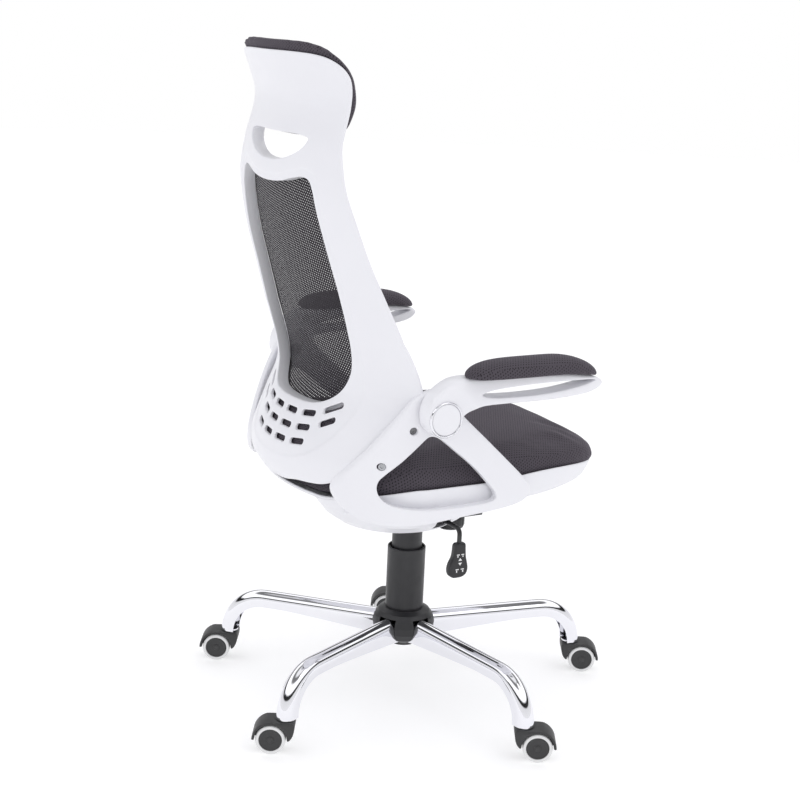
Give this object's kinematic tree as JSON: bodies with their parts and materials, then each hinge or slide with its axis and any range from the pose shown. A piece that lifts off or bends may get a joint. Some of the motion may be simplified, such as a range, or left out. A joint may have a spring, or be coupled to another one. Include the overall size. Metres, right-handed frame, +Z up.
{
  "type": "swivel chair",
  "caption": "High-back swivel chair with a mesh-window back shell, flip-up padded arms, gas lift, tilt mechanism and a five-leg chrome base on twin casters.",
  "frame": {"origin": "on the floor, on the axis of the column that the seat swivels about", "axes": "+Z up, -Y the way the sitter faces, +X the sitter's left"},
  "size_m": [0.7272, 0.7517, 1.148],
  "materials": {
    "white_plastic": "moulded white plastic, satin gloss",
    "black_plastic": "fine-grained black plastic",
    "hood_plastic": "dark grey plastic",
    "chrome": "polished chrome plate",
    "steel": "bright zinc-plated steel",
    "black_steel": "satin black paint",
    "fabric": "charcoal spacer mesh over foam",
    "mesh": "charcoal stretched mesh",
    "wheel_plastic": "pale soft tread over a grey disc"
  },
  "bodies": {
    "base": {"hub_tube": "black_steel", "hub_cover": "black_plastic", "leg_1": "chrome", "leg_2": "chrome", "leg_3": "chrome", "leg_4": "chrome", "leg_5": "chrome", "stem_sockets": "steel", "gas_cylinder": "black_steel", "lower_sleeve": "black_plastic"},
    "sleeve_mid": {"middle_sleeve": "black_plastic"},
    "lift": {"piston": "steel"},
    "valve": {"valve_button": "steel"},
    "swivel": {"mechanism_housing": "black_steel", "upper_sleeve": "black_plastic", "pivot_pins": "steel", "tension_washer": "steel", "tension_spring": "steel"},
    "tension": {"tension_bolt": "steel"},
    "knob": {"tension_knob": "black_plastic"},
    "lever": {"lever_rod": "black_steel", "lever_paddle": "black_plastic"},
    "tilt": {"mechanism_plate": "black_steel", "mechanism_cover": "white_plastic", "seat_pan": "white_plastic", "seat_cushion": "fabric", "bracket_right": "white_plastic", "bracket_left": "white_plastic", "bracket_screws": "steel", "arm_bolts": "steel", "back_shell": "white_plastic", "back_frame": "white_plastic", "mesh_panel": "mesh", "lumbar_pad": "fabric", "headrest_pad": "fabric"},
    "arm_r": {"arm_right": "white_plastic", "arm_pad_right": "fabric", "arm_cap_right": "white_plastic", "arm_ring_right": "chrome"},
    "arm_l": {"arm_left": "white_plastic", "arm_pad_left": "fabric", "arm_cap_left": "white_plastic", "arm_ring_left": "chrome"},
    "caster_1": {"caster_1": "hood_plastic"},
    "wheel_1a": {"wheel_1a": "wheel_plastic"},
    "wheel_1b": {"wheel_1b": "wheel_plastic"},
    "caster_2": {"caster_2": "hood_plastic"},
    "wheel_2a": {"wheel_2a": "wheel_plastic"},
    "wheel_2b": {"wheel_2b": "wheel_plastic"},
    "caster_3": {"caster_3": "hood_plastic"},
    "wheel_3a": {"wheel_3a": "wheel_plastic"},
    "wheel_3b": {"wheel_3b": "wheel_plastic"},
    "caster_4": {"caster_4": "hood_plastic"},
    "wheel_4a": {"wheel_4a": "wheel_plastic"},
    "wheel_4b": {"wheel_4b": "wheel_plastic"},
    "caster_5": {"caster_5": "hood_plastic"},
    "wheel_5a": {"wheel_5a": "wheel_plastic"},
    "wheel_5b": {"wheel_5b": "wheel_plastic"}
  },
  "joints": [
    {"name": "seat_lift", "type": "slide", "parent": "base", "child": "lift", "axis": [0, 0, 1], "range_m": [-0.025, 0.065]},
    {"name": "sleeve_slide", "type": "slide", "parent": "base", "child": "sleeve_mid", "axis": [0, 0, 1], "range_m": [-0.0125, 0.0325]},
    {"name": "valve_press", "type": "slide", "parent": "lift", "child": "valve", "axis": [0, 0, -1], "range_m": [0, 0.0045]},
    {"name": "seat_swivel", "type": "hinge", "parent": "lift", "child": "swivel", "pos_m": [0, 0, 0.325], "axis": [0, 0, 1], "continuous": true},
    {"name": "tension_travel", "type": "slide", "parent": "swivel", "child": "tension", "axis": [0, 0, -1], "range_m": [0, 0.01], "deforming": ["tension_spring"]},
    {"name": "knob_turn", "type": "hinge", "parent": "swivel", "child": "knob", "pos_m": [0, -0.087, 0.3], "axis": [0, 0, 1], "range_deg": [0, 1440]},
    {"name": "lever_lift", "type": "hinge", "parent": "swivel", "child": "lever", "pos_m": [-0.034, 0, 0.355], "axis": [0, 1, 0], "range_deg": [0, 8], "stiffness_Nm_per_rad": 1.2, "springref_deg": -14.32},
    {"name": "seat_tilt", "type": "hinge", "parent": "swivel", "child": "tilt", "pos_m": [0, -0.045, 0.37], "axis": [-1, 0, 0], "range_deg": [0, 12], "stiffness_Nm_per_rad": 180, "springref_deg": -17.19},
    {"name": "arm_r_flip", "type": "hinge", "parent": "tilt", "child": "arm_r", "pos_m": [-0.282, 0.113, 0.586], "axis": [-1, 0, 0], "range_deg": [0, 90]},
    {"name": "arm_l_flip", "type": "hinge", "parent": "tilt", "child": "arm_l", "pos_m": [0.282, 0.113, 0.586], "axis": [-1, 0, 0], "range_deg": [0, 90]},
    {"name": "caster_1_swivel", "type": "hinge", "parent": "base", "child": "caster_1", "pos_m": [0.29954, -0.15659, 0.06], "axis": [0, 0, 1], "continuous": true},
    {"name": "wheel_1a_roll", "type": "hinge", "parent": "caster_1", "child": "wheel_1a", "pos_m": [0.3218, -0.14404, 0.025], "axis": [-0.866, 0.5, 0], "continuous": true},
    {"name": "wheel_1b_roll", "type": "hinge", "parent": "caster_1", "child": "wheel_1b", "pos_m": [0.29928, -0.13104, 0.025], "axis": [-0.866, 0.5, 0], "continuous": true},
    {"name": "caster_2_swivel", "type": "hinge", "parent": "base", "child": "caster_2", "pos_m": [-0.05637, -0.33327, 0.06], "axis": [0, 0, 1], "continuous": true},
    {"name": "wheel_2a_roll", "type": "hinge", "parent": "caster_2", "child": "wheel_2a", "pos_m": [-0.07863, -0.34582, 0.025], "axis": [0.866, -0.5, 0], "continuous": true},
    {"name": "wheel_2b_roll", "type": "hinge", "parent": "caster_2", "child": "wheel_2b", "pos_m": [-0.05611, -0.35882, 0.025], "axis": [0.866, -0.5, 0], "continuous": true},
    {"name": "caster_3_swivel", "type": "hinge", "parent": "base", "child": "caster_3", "pos_m": [-0.33437, -0.04938, 0.06], "axis": [0, 0, 1], "continuous": true},
    {"name": "wheel_3a_roll", "type": "hinge", "parent": "caster_3", "child": "wheel_3a", "pos_m": [-0.35663, -0.06193, 0.025], "axis": [0.866, -0.5, 0], "continuous": true},
    {"name": "wheel_3b_roll", "type": "hinge", "parent": "caster_3", "child": "wheel_3b", "pos_m": [-0.33412, -0.07493, 0.025], "axis": [0.866, -0.5, 0], "continuous": true},
    {"name": "caster_4_swivel", "type": "hinge", "parent": "base", "child": "caster_4", "pos_m": [-0.15029, 0.30275, 0.06], "axis": [0, 0, 1], "continuous": true},
    {"name": "wheel_4a_roll", "type": "hinge", "parent": "caster_4", "child": "wheel_4a", "pos_m": [-0.12803, 0.3153, 0.025], "axis": [-0.866, 0.5, 0], "continuous": true},
    {"name": "wheel_4b_roll", "type": "hinge", "parent": "caster_4", "child": "wheel_4b", "pos_m": [-0.15055, 0.3283, 0.025], "axis": [-0.866, 0.5, 0], "continuous": true},
    {"name": "caster_5_swivel", "type": "hinge", "parent": "base", "child": "caster_5", "pos_m": [0.24149, 0.23649, 0.06], "axis": [0, 0, 1], "continuous": true},
    {"name": "wheel_5a_roll", "type": "hinge", "parent": "caster_5", "child": "wheel_5a", "pos_m": [0.26375, 0.24904, 0.025], "axis": [-0.866, 0.5, 0], "continuous": true},
    {"name": "wheel_5b_roll", "type": "hinge", "parent": "caster_5", "child": "wheel_5b", "pos_m": [0.24123, 0.26204, 0.025], "axis": [-0.866, 0.5, 0], "continuous": true}
  ],
  "couplings": [
    {"joint": "sleeve_slide", "follows": "seat_lift", "ratio": 0.5},
    {"joint": "valve_press", "follows": "lever_lift", "m_per_rad": 0.032226},
    {"joint": "tension_travel", "follows": "knob_turn", "m_per_rad": 0.00039785}
  ]
}
